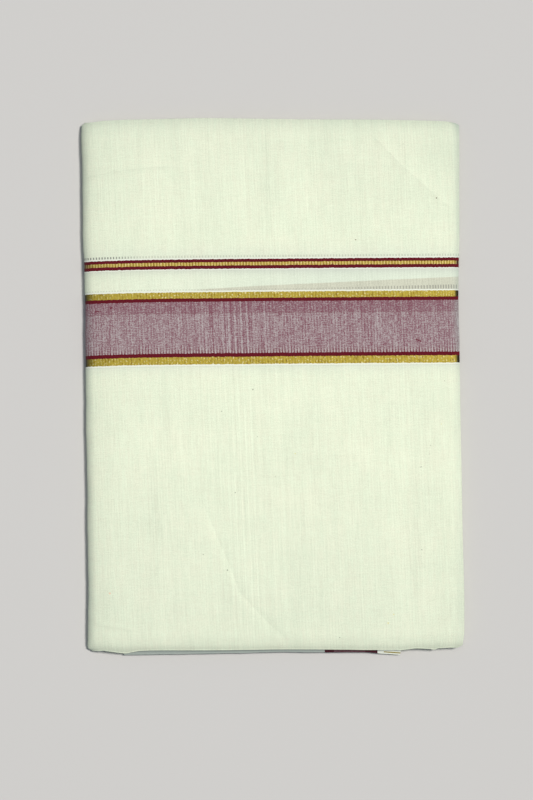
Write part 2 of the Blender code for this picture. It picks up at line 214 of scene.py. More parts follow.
SPINE_ARC = 20.2 * MM
NOSE_RINGS = 12
WALL_PLIES = 2
PLY_DIP = 0.45
PLY_UNEVEN = 0.15
PAIR_PLIES = 5
RINGS_PER_PLY = 4
PLY_VALLEY = 0.34 * MM
PLY_SPREAD = 0.30 * MM
PAIR_RINGS = PAIR_PLIES * RINGS_PER_PLY
PAIR_ARC = 7.0 * MM
RIGHT_SPREAD = 0.35 * MM
PAIR_NOSE = 1.15 * MM
PAIR_GAP = 0.08 * MM
LEAF_VALLEY = 0.7 * MM
# How square the sections of folds are: 2 is a circle's
FOLD_POWER = 2.2
PLY_POWER = 2.6
NOSE_POWER = 4.0
LEAF_POWER = 6.0
# The waves of an unsteady line: length in mm, and share of its height
WANDER_WAVES = [(130, 0.45), (52, 0.3), (21, 0.17), (9, 0.08)]

# Loops that close a face: how far they lie in from its border, in mm
HIDDEN_LOOPS = [2.5, 5, 7.5, 10, 12.5, 15, 17.5, 20.5, 45, 80, 115]
CAP_LOOPS = [3, 9, 20, 50, 100]
END_LOOPS = [0.12, 0.37, 0.8, 2, 4, 8, 12]

FRONT_SEED, BACK_SEED, END_SEED, PAIR_SEED = 11, 23, 37, 100

# The bake map: its scale, and where a hidden face lies on it
MAP_SPAN = 0.394
MAP_MARGIN = 0.008
HIDDEN_MAP_START = 0.78
HIDDEN_MAP_SCALE = 0.28
# How far the noses reach past a piece's grid on it
NOSE_MARGIN = 2.8 * MM
PAIR_MARGIN = 22.0 * MM
PAIR_MAP_START = 1.0 * MM
PAIR_MAP_RUN = 20.0 * MM


# ---- The packet's form, for arrays of places ----

def lookup(table, along):
    """An edge table's inset at places along the edge."""
    return np.interp(along, *(np.array(table) * MM).T)


def corner_inset(radius, distance):
    """How far a round corner draws a line in, at this distance from the other edge."""
    near = np.clip(radius - distance, 0.0, radius)
    return radius - np.sqrt(radius ** 2 - near ** 2)


def front_inset(side, along):
    """How far the front leaf's edge stands back from the packet's box."""
    return lookup(FRONT_EDGES[side], along)


def smooth(value, start, end):
    """0 before start, 1 past end, and an even curve between."""
    share = np.clip((value - start) / (end - start), 0.0, 1.0)
    return share * share * (3 - 2 * share)


def near(distance, reach):
    """1 at a line, and evenly less up to a reach from it."""
    return np.clip(1 - distance / reach, 0.0, 1.0)


def edge_distances(x, y, left=-HALF_WIDTH):
    """How far places lie in from the box, or at the left from another line."""
    return {"left": x - left, "right": HALF_WIDTH - x,
            "bottom": y + HALF_LENGTH, "top": HALF_LENGTH - y}


def along_edge(side, x, y):
    """The coordinate that runs along an edge."""
    return y if side in ("left", "right") else x


def place(x, y, inset):
    """Move places from the box to a leaf whose edges stand back by inset()."""
    to_edge = edge_distances(x, y, SPINE_LINE)
    draw = {side: inset(side, along_edge(side, x, y)) for side in to_edge}
    for (across, along), radius in CORNERS.items():
        draw[across] = draw[across] + corner_inset(radius, to_edge[along])
    shift = {side: draw[side] * near(to_edge[side], BORDER_ZONE) for side in draw}
    return x + shift["left"] - shift["right"], y + shift["bottom"] - shift["top"]


def beside_line(x, y, start, run):
    """Places beside a line: their share of its length, and how far they lie to its left and
    from its nearest point."""
    from_x, from_y = x - start[0], y - start[1]
    length = np.hypot(*run)
    share = np.clip((from_x * run[0] + from_y * run[1]) / length ** 2, 0.0, 1.0)
    left = (from_y * run[0] - from_x * run[1]) / length
    return share, left, np.hypot(from_x - share * run[0], from_y - share * run[1])


def fold_height(fold, x, y):
    """Height that one broad fold adds."""
    start = np.array(fold.start) * MM
    share, left, _ = beside_line(x, y, start, np.array(fold.end) * MM - start)
    bump = np.sin(math.pi * share)
    off = (left - fold.bow * MM * bump) / (fold.width * MM)
    return fold.height * MM * bump * np.exp(-off ** 2)


def pack_height(x, y):
    """Height of the front leaf's face over the floor, without its fine creases."""
    pillow = (1 - (x / HALF_WIDTH) ** CROWN_POWER) * (1 - (y / HALF_LENGTH) ** CROWN_POWER)
    height = RIM_HEIGHT + CROWN_RISE * pillow + sum(fold_height(fold, x, y) for fold in FRONT_FOLDS)
    distances = edge_distances(x, y)
    for droops in (DROOPS, HARD_TURNS):
        for side, (reach, depth) in droops.items():
            gap = distances[side] - front_inset(side, along_edge(side, x, y))
            down = np.clip(1.0 - gap / (reach * MM), 0.0, DROOP_SHARE_MOST)
            upper = droops is HARD_TURNS and side == "right"
            share = smooth(y, RIGHT_TURN_FROM, RIGHT_TURN_FULL) if upper else 1.0
            height = height - depth * MM * share * down ** 2
    return height


def rebate(x, y):
    """How much the hidden leaves drop under the tucked-in end."""
    beside = np.maximum(TUCK_LEFT - x, x - TUCK_RIGHT) - TUCK_ROOM
    away = np.maximum(beside, np.maximum(y - TUCK_BACK - TUCK_ROOM, 0.0))
    return (TUCK + SEAM) * near(away, TUCK_FADE)


def crease_height(crease, x, y):
    """Height that one crease adds, less towards its ends."""
    path = np.array(crease.path) * MM
    runs = np.diff(path, axis=0)
    lengths = np.hypot(*runs.T)
    signed = np.full(x.shape, np.inf)
    share = np.zeros(x.shape)
    walked = 0.0
    for start, run, length in zip(path, runs, lengths):
        along, left, distance = beside_line(x, y, start, run)
        closer = distance < np.abs(signed)
        signed = np.where(closer, np.where(left < 0, -distance, distance), signed)
        share = np.where(closer, (walked + along * length) / lengths.sum(), share)
        walked += length
    width = crease.width * MM * (1 + crease.skew * np.sign(signed))
    fade = np.sqrt(np.clip(np.sin(math.pi * share), 0.0, 1.0))
    return crease.height * MM * fade * np.exp(-np.abs(signed / width) ** CREASE_POWER)


def creases_height(creases, x, y):
    return sum(crease_height(crease, x, y) for crease in creases)


def swell_height(swells, x, y):
    """Height of a few slow waves added up."""
    height = np.zeros(np.broadcast(x, y).shape)
    for swell in swells:
        along = (x * math.cos(swell.slant) + y * math.sin(swell.slant)) / (swell.length * MM)
        height = height + swell.height * MM * np.sin(math.tau * (along + swell.phase))
    return height


# ---- Building meshes from patches ----

class Sheet:
    """A mesh in the making, put together from patches."""

    def __init__(self):
        self.points = []
        self.cloth = []
        self.count = 0
        self.faces = []
        self.corners = []

    def add_points(self, points, cloth):
        """Add an array of points with their cloth places. Returns their indices."""
        shape = points.shape[:-1]
        total = int(np.prod(shape))
        self.points.append(points.reshape(total, 3))
        self.cloth.append(cloth.reshape(total, 2))
        self.count += total
        return np.arange(self.count - total, self.count).reshape(shape)

    def add_faces(self, columns, places, turned):
        """Add faces from arrays of their corners and of the corners' map spots."""
        if turned:
            columns, places = columns[::-1], places[::-1]
        count = len(columns)
        self.faces += np.stack(columns, axis=-1).reshape(-1, count).tolist()
        self.corners.append(np.stack(places, axis=-2).reshape(-1, 2))

    def add_patch(self, indices, places, turned=False):
        """Join a grid of points with quads."""
        low, high = slice(None, -1), slice(1, None)
        steps = [(low, low), (high, low), (high, high), (low, high)]
        self.add_faces([indices[step] for step in steps], [places[step] for step in steps], turned)

    def make(self, name, material):
        """Turn the patches into a smooth object."""
        data = bpy.data.meshes.new(name)
        data.from_pydata(np.concatenate(self.points).tolist(), [], self.faces)
        cloth = np.pad(np.concatenate(self.cloth), ((0, 0), (0, 1)))
        attribute = data.attributes.new("cloth", "FLOAT_VECTOR", "POINT")
        attribute.data.foreach_set("vector", cloth.astype(np.float32).ravel())
        layer = data.uv_layers.new(name="OFBake")
        layer.uv.foreach_set("vector", np.concatenate(self.corners).astype(np.float32).ravel())
        data.shade_smooth()
        data.materials.append(material)
        data.validate()
        return link(name, data)


def closed(loops):
    """Loops as one array, with their first point repeated at the end."""
    return np.stack([[*loop, loop[0]] for loop in loops])


def border(across, along):
    """Once round a grid: its lines there, their indices, and unit vectors out of it."""
    right, top = len(across) - 1, len(along) - 1
    low, side = np.arange(right), np.arange(top)
    i = np.concatenate([low, 0 * side + right, right - low, 0 * side])
    j = np.concatenate([0 * low, side, 0 * low + top, top - side])
    out = together((i == right).astype(float) - (i == 0), (j == top).astype(float) - (j == 0))
    return (across[i], along[j]), i, j, out / np.linalg.norm(out, axis=1, keepdims=True)


def even_lines(start, end, pitch):
    """Grid lines with even steps of about the pitch."""
    return np.linspace(start, end, max(2, round((end - start) / pitch) + 1))


def edged_lines(start, end, pitch, close_start=True):
    """Grid lines, closer near a folded edge."""
    gaps = np.array(EDGE_LINES)
    closer = start + gaps[:0:-1] if close_start else []
    first = start + gaps[0] if close_start else start
    return np.concatenate([closer, even_lines(first, end - gaps[0], pitch), end - gaps[1:]])


def leaf_lines(pitch):
    """Grid lines of a hidden leaf, across and along."""
    return (edged_lines(SPINE_LINE, HALF_WIDTH, pitch, close_start=False),
            edged_lines(-HALF_LENGTH, HALF_LENGTH, pitch))


def map_place(across, along, origin):
    """Spots on the bake's map for places on the cloth."""
    return (together(across, along) - origin) / MAP_SPAN + MAP_MARGIN


def hidden_map_place(across, along, origin):
    """Spots on the part of the map that hidden faces share."""
    spots = map_place(across, along, origin)
    spots[..., 0] = HIDDEN_MAP_START + spots[..., 0] * HIDDEN_MAP_SCALE
    return spots


def wander(rng, along, height):
    """A slow unsteady line along an edge."""
    line = np.zeros(along.shape)
    for wave, share in WANDER_WAVES:
        turn = along / (wave * rng.uniform(0.8, 1.25) * MM) + rng.uniform()
        line = line + share * np.sin(math.tau * turn)
    return height * line


def round_profile(share, power=FOLD_POWER):
    """A round fold's section: 0 at both ends of the share and 1 in the middle."""
    return (1 - np.abs(2 * share - 1) ** power) ** (1 / power)


def close_face(sheet, first_loop, across, along, point_at, loops, origin, put, turned, centre,
               reach):
    """Close a face with loops that shrink towards a centre. put gives their map spots."""
    indices = [first_loop]
    spots = [put(across, along, origin)]
    for inward in loops:
        share = 1 - inward * MM / reach
        place_on = centre + (together(across, along) - centre) * share
        indices.append(sheet.add_points(point_at(*place_on.T), place_on))
        spots.append(put(*place_on.T, origin))
    sheet.add_patch(closed(indices), closed(spots), turned)
    middle = np.array([centre])
    point = sheet.add_points(point_at(*middle.T), middle)
    last, spot = indices[-1], spots[-1]
    sheet.add_faces([last, np.roll(last, -1), 0 * last + point],
                    [spot, np.roll(spot, -1, axis=0), 0 * spot + put(*middle.T, origin)], turned)


def wall(point_at, relief, across, along, thickness, seed, loops, flat_left=True,
         underneath=False):
    """A closed wall: a grid on its shown face, noses of plies round its edge, and loops on its
    hidden face. point_at(across, along, depth) gives its points."""
    sheet = Sheet()
    rng = np.random.default_rng(seed)
    grid_across, grid_along = np.meshgrid(across, along, indexing="ij")
    shown = point_at(grid_across, grid_along, 0.0)
    shown[..., 2] += relief(grid_across, grid_along, shown)
    cloth = together(grid_across, cloth_along(shown[..., 0], grid_along))
    origin = (across[0] - NOSE_MARGIN, along[0] - NOSE_MARGIN)
    grid = sheet.add_points(shown, cloth)
    sheet.add_patch(grid, map_place(grid_across, grid_along, origin), underneath)

    loop, i, j, out = border(across, along)
    push = out.copy()
    if flat_left:
        push[i == 0, 0] = 0.0
    outer = shown[i, j]
    inner = point_at(*loop, thickness)
    half = np.linalg.norm(outer - inner, axis=1, keepdims=True) / 2
    at_end = ((j == 0) | (j == len(along) - 1)).astype(float)[:, None]
    ply_lines = [wander(rng, loop[0], PLY_UNEVEN)[:, None] for _ in range(WALL_PLIES)]
    rings = [grid[i, j]]
    places = [map_place(*loop, origin)]
    for share in np.arange(1, NOSE_RINGS + 2) / (NOSE_RINGS + 1):
        ply = min(int(share * WALL_PLIES), WALL_PLIES - 1)
        bulge = round_profile(share * WALL_PLIES - ply, PLY_POWER)
        plies = round_profile(share, NOSE_POWER) * (1 - PLY_DIP * (1 - bulge))
        plies = plies * (1 + ply_lines[ply])
        point = outer + (inner - outer) * share
        point[:, :2] += push * half * (at_end * plies + (1 - at_end) * round_profile(share))
        turned_out = out * math.pi * half * share
        rings.append(sheet.add_points(point, cloth[i, j] + turned_out))
        places.append(map_place(*(together(*loop) + turned_out).T, origin))
    sheet.add_patch(closed(rings), closed(places), underneath)
    centre = ((across[0] + across[-1]) / 2, (along[0] + along[-1]) / 2)
    reach = min(across[-1] - centre[0], along[-1] - centre[1])
    close_face(sheet, rings[-1], *loop, lambda a, b: point_at(a, b, thickness), loops, origin,
               hidden_map_place, underneath, centre, reach)
    return sheet


# The woven stripes sag towards their ends, in mm
STRIPE_BEND = [
    (-134, -0.95), (-124, -0.62), (-103, -0.20), (-82, 0.02), (-40, 0.04), (23, -0.08),
    (107, -0.36), (134, -0.46)]


def cloth_along(x, along):
    """The place along the cloth, which makes the woven stripes bend."""
    return along - lookup(STRIPE_BEND, x)


# ---- The pieces ----

def front_edge(side, along):
    """The front leaf's wall, up to where its nose begins."""
    if side == "left":
        return front_inset(side, along)
    inset = front_inset(side, along) + LEAF / 2
    return inset + lookup(FRAY, along) if side == "bottom" else inset


def front_point(across, along, depth):
    """A point of the front leaf, which turns down past the spine's line."""
    x, y = place(np.maximum(across, SPINE_LINE), along, front_edge)
    turn = math.pi * np.clip((SPINE_LINE - across) / SPINE_ARC, 0.0, 1.0)
    top = pack_height(x - SPINE_REACH * np.sin(turn), y)
    pucker = swell_height(SPINE_SWELLS, across * 0, along) + SPINE_FULLNESS
    x = x - (SPINE_REACH - depth) * np.sin(turn) + np.sin(turn) ** 2 * pucker
    return together(x, y, top / 2 + (top / 2 - depth) * np.cos(turn))


def front_relief(across, along, points):
    """Creases and swells of the display face, which fade out round the spine."""
    x, y = points[..., 0], points[..., 1]
    height = swell_height(FRONT_SWELLS, x, y) + creases_height(FRONT_CREASES, x, y)
    return height * smooth(across, *RELIEF_RUN)


def front_sheet():
    spine = even_lines(SPINE_LINE - SPINE_ARC, SPINE_LINE, FRONT_PITCH_ACROSS)[:-1]
    face = edged_lines(SPINE_LINE, HALF_WIDTH, FRONT_PITCH_ACROSS, close_start=False)
    along = edged_lines(-HALF_LENGTH, HALF_LENGTH, FRONT_PITCH_ALONG)
    return wall(front_point, front_relief, np.concatenate([spine, face]), along, LEAF,
                FRONT_SEED, HIDDEN_LOOPS)


def back_edge(side, along):
    """The back leaf's wall, from the spine's foot to where its noses begin."""
    base = front_inset(side, along)
    if side == "left":
        return base + SEAM
    if side == "right":
        base = np.minimum(base, STACK_INSET)
    return base + BACK_INSETS[side] * MM + LEAF / 2


def back_sheet():
    """The back leaf, flat on the floor but for its creases. It shows its underside."""
    across, along = leaf_lines(BACK_PITCH)

    def point_at(across, along, depth):
        x, y = place(across, along, back_edge)
        return together(x, y, np.full(x.shape, depth))

    def relief(across, along, points):
        height = -creases_height(BACK_CREASES, points[..., 0], points[..., 1])
        return np.clip(height, 0.0, None)

    return wall(point_at, relief, across, along, LEAF, BACK_SEED, HIDDEN_LOOPS,
                underneath=True)


def end_sheet():
    """The cloth's own end, which shows as a lip below the front leaf."""
    across = edged_lines(TUCK_LEFT, TUCK_RIGHT, END_PITCH)
    along = edged_lines(-HALF_LENGTH, TUCK_BACK, END_PITCH)

    def point_at(across, along, depth):
        stand_back = lookup(TUCK_BOTTOM, across) + TUCK / 2 - END_REACH
        y = along + stand_back * near(along + HALF_LENGTH, BORDER_ZONE)
        return together(across, y, pack_height(across, y) - LEAF - SEAM - depth)

    def relief(across, along, points):
        return smooth(-along, *LIP_RUN) * swell_height(LIP_SWELLS, across, along)

    return wall(point_at, relief, across, along, TUCK, END_SEED, END_LOOPS, flat_left=False)


def pair_sheet(index):
    """Two hidden leaves: a fat fold at the right, and their plies' noses at each end."""
    sheet = Sheet()
    rng = np.random.default_rng(PAIR_SEED + index)
    row = LEAF_PAIRS[index]
    floor = LEAF + SEAM
    across, along = leaf_lines(PAIR_PITCH)
    loop, _, _, out = border(across, along)
    ply_steps = rng.uniform(-PLY_SPREAD, PLY_SPREAD, PAIR_PLIES)
    ply_seeds = rng.integers(0, 10000, PAIR_PLIES)
    right_seed = rng.integers(0, 10000)

    def end_inset(side, places, share):
        """Inset of the noses at one end, at a share of the way down."""
        upper = getattr(row, side + "_upper") * MM
        lower = getattr(row, side + "_lower") * MM
        ply = min(int(share * PAIR_PLIES), PAIR_PLIES - 1)
        base = upper + (lower - upper) * (ply / (PAIR_PLIES - 1))
        line = wander(np.random.default_rng(ply_seeds[ply] + len(side)), places, PLY_SPREAD)
        dip = PLY_VALLEY * (1 - round_profile(share * PAIR_PLIES - ply, PLY_POWER))
        ends = LEAF_VALLEY * (1 - round_profile(share, LEAF_POWER))
        return base + ply_steps[ply] + line + dip + ends

    def ring_points(ring_across, ring_along, share):
        depth_share = 1 - (index + share) / len(LEAF_PAIRS)
        sine = math.sin(math.acos(2 * depth_share - 1))

        def inset(side, places):
            base = front_inset(side, places)
            if side == "left":
                mouth = MOUTH_DEPTH * near(HALF_LENGTH - np.abs(places), MOUTH_REACH)
                return base + mouth - (SPINE_REACH - floor) * sine
            if side == "right":
                line = wander(np.random.default_rng(right_seed), places, RIGHT_SPREAD)
                nose = PAIR_NOSE * (1 - round_profile(share))
                return np.minimum(base, STACK_INSET) + row.right * MM + line + nose
            return base + end_inset(side, places, share)

        x, y = place(ring_across, ring_along, inset)
        over = x - floor * sine * near(ring_across - SPINE_LINE, BORDER_ZONE)
        top = pack_height(over, y) - floor - rebate(x, y)
        gap = PAIR_GAP * (1 - share) if index > 0 else 0.0
        return together(x, y, floor + (top - floor) * depth_share - gap)

    origin = (across[0] - PAIR_MARGIN, along[0] - PAIR_MARGIN)
    rings = []
    places = []
    for share in np.arange(PAIR_RINGS + 1) / PAIR_RINGS:
        cloth = together(*loop) + out * PAIR_ARC * share
        rings.append(sheet.add_points(ring_points(*loop, share), cloth))
        spot = together(*loop) + out * (PAIR_MAP_START + PAIR_MAP_RUN * share)
        places.append(map_place(*spot.T, origin))
    sheet.add_patch(closed(rings), closed(places))
    for share, first, turned, put in ((0.0, rings[0], True, map_place),
                                      (1.0, rings[-1], False, hidden_map_place)):
        close_face(sheet, first, *loop, lambda a, b: ring_points(a, b, share), CAP_LOOPS,
                   origin, put, turned, (0.0, 0.0), HALF_WIDTH)
    return sheet


# ---- Materials ----

def linear(*display):
    """A display colour, 0 to 255, as a shader's linear colour."""
    shares = [value / 255 for value in display]
    return (*(share / 12.92 if share <= 0.04045 else ((share + 0.055) / 1.055) ** 2.4
              for share in shares), 1.0)


CREAM = linear(230.2, 239.4, 213.8)
CREAM_WARM = linear(231.4, 236.6, 211.8)
# Painted shade, which greys the cloth towards the packet's edges
EDGE_SHADE_COLOUR = linear(138, 154, 150)
BLUISH = linear(219, 229, 212)
WHITE = linear(233, 237, 224)
MAROON = linear(98, 20, 32)
MAROON_DARK = linear(80, 12, 26)
MAUVE_PALE = linear(183, 175, 175)
MAUVE_DEEP = linear(128, 84, 96)
GOLD = linear(170, 152, 60)
# Painted shade between the gold's ribs, and painted glints on them
GOLD_SHADE = linear(126, 98, 20)
GOLD_GLINT = linear(216, 208, 160)
# Pale yarn and painted glints on the narrow gold's ribs
NARROW_PALE_YARN_AND_GLINT = linear(226, 197, 142)
# Painted dark reflection of the gold where it turns over the edges
GOLD_TURN_SHADE = linear(24, 20, 18)
WEDGE = linear(204, 204, 184)
# Painted shade where the weave puckers beside the stripe groups
PUCKER_SHADE = linear(150, 150, 156)
# Painted shade dots in the puckered weave
PUCKER_DOT_SHADE = linear(96, 92, 96)
BORDER_SHADE = linear(150, 158, 174)
# Painted shade on the tucked-in end, which lies under the front leaf's edge
END_SHADE_GREY = linear(160, 169, 166)
# The end border's maroon, darkened with painted shade
SHADED_LIP_MAROON = linear(70, 26, 36)
SPECK_COLOURS = {
    "dark": linear(150, 154, 140),
    "brown": linear(128, 110, 92),
    "orange": linear(232, 204, 176),
    "yellow": linear(224, 214, 142),
    "maroon": linear(104, 20, 44),
}

COTTON_FINISH = {"Specular IOR Level": 0.12, "Sheen Weight": 0.05, "Sheen Roughness": 0.5}
ROUGHNESS = 0.88
NAP_PITCH = 0.9
NAP = 0.3
GOLD_METAL = 0.35
GOLD_POLISH = 0.28
GOLD_RELIEF = 1.6
BUMP_STRENGTH = 0.18
BUMP_DISTANCE = 0.2 * MM

# The warp leans a little: x per mm of y
WARP_LEAN = 0.031
# The reed's faint lines are this far apart, and the broad band's teeth sit on them
REED_PITCH = 2.08

# The woven stripes, in mm along the packet
WHITES = [(89.4, 90.3), (81.9, 82.55), (66.4, 67.35), (15.0, 15.9)]
MAROONS = [(87.2, 89.4), (82.55, 84.9), (59.7, 62.1), (21.05, 23.65)]
GOLDS = [(84.9, 87.2), (62.1, 66.4), (15.9, 21.05)]
MAUVE = (23.65, 59.7)
MAUVE_DEEPER_FROM = 51.6
TEETH_TO = 30.5
GAP = (67.35, 81.9)
# Painted shade: the gap is greyer towards the narrow group, where the weave puckers
SHADED = (75.0, 81.6)
# A thin row of painted shade below the wide group
THIN_ROW = (14.15, 14.75)
# Where it turns bluish, across the packet
BLUISH_RUN = (-140, 40)

# Painted shade: the cream darkens towards the outer side of each stripe group
Beside = namedtuple("Beside", "start end share")

BESIDES = rows(Beside, (106.0, 90.3, 0.13), (5.0, 14.8, 0.15))

# Rows of painted shade dots beside the stripe groups, where the weave puckers: their strength at
# the left and at the right, where the one gives way to the other, and how much further up
# they reach at the right
ShadeDotRow = namedtuple("ShadeDotRow", "low high left right turn_from turn_to rise")

SHADE_DOT_ROWS = rows(ShadeDotRow,
    (90.4, 92.1, 0.80, 0.28, -112, -92, 0.0), (67.5, 68.6, 0.24, 0.56, 20, 125, 1.9))

# Painted dark reflection where the gold thread turns away over the two edges
TURN_SHADE_LEFT = (-125.5, -133.5)
TURN_SHADE_RIGHT = (129.9, 131.6)

# Lines over the under-leaf that shows through: height at x = 0 and slope
WEDGE_RUN = (-57.0, -45.0)
WEDGE_LINES = [(71.15, 0.0505), (71.05, 0.0392)]

# Lines that stand out, lighter and darker, among them painted shadow of a fold under the
# front leaf: x at y = 0, x per mm of y, from and to which y, half the width, and strength
LineMark = namedtuple("LineMark", "x slope start end reach strength")

YARNS_AND_FOLD_SHADOWS = rows(LineMark,
    (-3.4, 0.0032, 95, 190, 0.8, -0.055), (95.2, -0.0077, 146, 190, 0.8, -0.06),
    # Painted shadow of a fold under the front leaf: the two wide dark lines near x = 96 to 100 mm
    (96.2, -0.020, -150, 16, 5.0, -0.020), (99.5, -0.020, -190, -60, 2.0, -0.016),
    (103.0, -0.006, -164, -108, 0.8, 0.03), (-104.0, 0.0, 104, 176, 0.8, 0.03),
    (-11.1, -0.05, 98, 190, 0.9, 0.035), (8.9, -0.05, 98, 180, 0.9, 0.035),
    (5.7, -0.05, 98, 190, 0.9, -0.040), (-19.8, -0.05, 98, 160, 0.8, 0.025))
LINE_MARK_FADE = 9.0
# The strip left of the middle, where every sixth reed mark is pale: x at y = 0, strength
STRIP_LINES = [
    (-44.7, 0.026), (-40.5, -0.026), (-33.5, 0.044), (-31.6, -0.024), (-29.2, 0.044),
    (-27.0, -0.042), (-24.6, 0.046), (-22.9, -0.036), (-20.3, 0.052), (-18.6, -0.034),
    (-16.0, 0.048), (-14.4, -0.034), (-11.1, 0.028), (-5.8, -0.028), (-3.3, 0.026),
    (3.4, 0.040), (6.4, -0.024),
]
STRIP_REACH = 0.8
STRIP_BELOW = (-192.0, -162.0)
STRIP_ABOVE = (66.0, 63.0)

Speck = namedtuple("Speck", "x y radius")

SPECKS = {
    "dark": rows(Speck,
        (-14, -2, 0.5), (-36, -17, 0.4), (-11, -35, 0.4), (-27, -74, 0.45), (-33, -128, 0.5),
        (-50, -117, 0.45), (121, 3, 0.4), (45, -11, 0.35), (110, -42, 0.35), (109, -48, 0.35),
        (103, -57, 0.4), (1, -63, 0.35), (93, 169, 0.4), (45, -178, 0.45), (103, -115, 0.45)),
    "brown": rows(Speck, (116, 131, 0.45), (59, 102, 0.5)),
    "orange": rows(Speck, (-116, -143, 0.7)),
    "yellow": rows(Speck, (15, -47, 0.35), (118, -27, 0.4), (79, -166, 0.5), (83, -160, 0.4)),
    "maroon": rows(Speck,
        (101.0, 32.1, 0.8), (102.3, 31.5, 0.6), (103.7, 31.0, 0.6), (-124.6, 54.2, 0.5),
        (-123.4, 54.2, 0.55), (-122.4, 54.1, 0.45), (-113.4, 56.2, 0.55), (-112.3, 56.5, 0.5)),
}
SPECK_ROUGH = 0.5

# Painted shade towards the packet's edges, on top of the shading that their slopes give: on
# which coordinate, between which places, how much and how fast, and whether in the packet's
# upper half alone
EdgeShadeRun = namedtuple("EdgeShadeRun", "along start end amount power upper", defaults=[False])
UPPER_HALF = (-60.0, 40.0)

EDGE_SHADE_RUNS = rows(EdgeShadeRun,
    (False, -45, -105, 0.036, 1.0), (False, 96, 132, 0.030, 1.0, True),
    (False, 126, 132.5, 0.200, 1.0), (False, 127, 131.5, 0.125, 1.5, True),
    (True, 80, 189, 0.115, 2.0), (True, 175, 188.5, 0.165, 1.5), (True, -40, -165, 0.098, 1.0))


class Wire:
    """A shader value. Its sums, products and tests add nodes."""

    def __init__(self, loom, socket):
        self.loom = loom
        self.socket = socket

    def __add__(self, other):
        return self.loom.math("ADD", self, other)

    def __sub__(self, other):
        return self.loom.math("SUBTRACT", self, other)

    def __mul__(self, other):
        return self.loom.math("MULTIPLY", self, other)

    def __abs__(self):
        return self.loom.math("ABSOLUTE", self)

    __radd__ = __add__
    __rmul__ = __mul__

    def above(self, threshold, soft=0.05):
        """0 under a threshold, 1 over it, with a soft step."""
        return self.ramp(threshold, threshold + soft)

    def ramp(self, start, end):
        """0 at start and 1 at end, which may be the lower, with a straight run between."""
        slope = 1 / (end - start)
        return self.loom.math("MULTIPLY_ADD", self, slope, -start * slope, clamp=True)

    def between(self, start, end):
        """1 between two numbers, and 0 elsewhere."""
        return self.loom.math("COMPARE", self, (start + end) / 2, (end - start) / 2)

    def within(self, stripes):
        """1 within any of the stripes."""
        return sum(self.between(*stripe) for stripe in stripes)


class Loom:
    """A cloth material in the making."""

    def __init__(self, name):
        self.material = bpy.data.materials.new(name)
        self.material.use_nodes = True
        self.tree = self.material.node_tree
        self.shader = self.tree.nodes["Principled BSDF"]
        cloth = self.wire("ShaderNodeAttribute", output="Vector", attribute_name="cloth")
        self.across, self.along = (self.wire("ShaderNodeSeparateXYZ", cloth, output=axis) * (1 / MM)
                                   for axis in (0, 1))
        self.lean = self.across + self.along * WARP_LEAN
        self.reed = self.math("SINE", self.lean * (math.tau / REED_PITCH))

    def feed(self, socket, value):
        """Link a wire to a socket, or set a number or colour on it."""
        if isinstance(value, Wire):
            self.tree.links.new(value.socket, socket)
        else:
            socket.default_value = value

    def wire(self, kind, *values, to=range(9), output=0, **settings):
        """Add a node, set it, feed its inputs and return an output."""
        made = self.tree.nodes.new(kind)
        for name, value in settings.items():
            setattr(made, name, value)
        for socket, value in zip(to, values):
            self.feed(made.inputs[socket], value)
        return Wire(self, made.outputs[output])

    def math(self, operation, *values, clamp=False):
        return self.wire("ShaderNodeMath", *values, operation=operation, use_clamp=clamp)

    def vector(self, *parts):
        return self.wire("ShaderNodeCombineXYZ", *parts)

    def mix(self, factor, first, second, blend="MIX"):
        """Blend two colours."""
        return self.wire("ShaderNodeMix", factor, first, second, to=(0, 6, 7), output=2,
                         data_type="RGBA", blend_type=blend)

    def paint(self, colour, *coats):
        """Blend a colour with one after another, each by its share."""
        for share, tint in coats:
            colour = self.mix(share, colour, tint)
        return colour

    def shade(self, colour, value):
        """A colour made lighter or darker by a share round 0."""
        lit = value + 1.0
        grey = self.wire("ShaderNodeCombineColor", lit, lit, lit)
        return self.mix(1.0, colour, grey, "MULTIPLY")

    def noise(self, x, y, seed, detail=0.0):
        """Smooth noise, about -1 to 1, whose own size is 1."""
        made = self.wire("ShaderNodeTexNoise", self.vector(x, y, seed), 1.0, detail,
                         to=("Vector", "Scale", "Detail"))
        return self.math("MULTIPLY_ADD", made, 2.0, -1.0)

    def streaks(self, pitch, length, seed, detail=1.0):
        """Warp yarns: noise that is fine across and long along."""
        return self.noise(self.lean * (1 / pitch), self.along * (1 / length), seed, detail)

    def wefts(self, pitch, length, seed, detail=1.0):
        """Weft yarns: noise that is fine along and long across."""
        return self.noise(self.across * (1 / length), self.along * (1 / pitch), seed, detail)

    def mottle(self, size, seed, detail=0.0):
        """Noise that runs neither way."""
        return self.noise(self.across * (1 / size), self.along * (1 / size), seed, detail)


def strip_lines(loom):
    """The pale and dark yarns of the strip left of the middle."""
    lines = sum(abs(loom.lean - x).ramp(STRIP_REACH, 0.0) * strength
                for x, strength in STRIP_LINES)
    return lines * loom.along.ramp(*STRIP_BELOW) * loom.along.ramp(*STRIP_ABOVE)


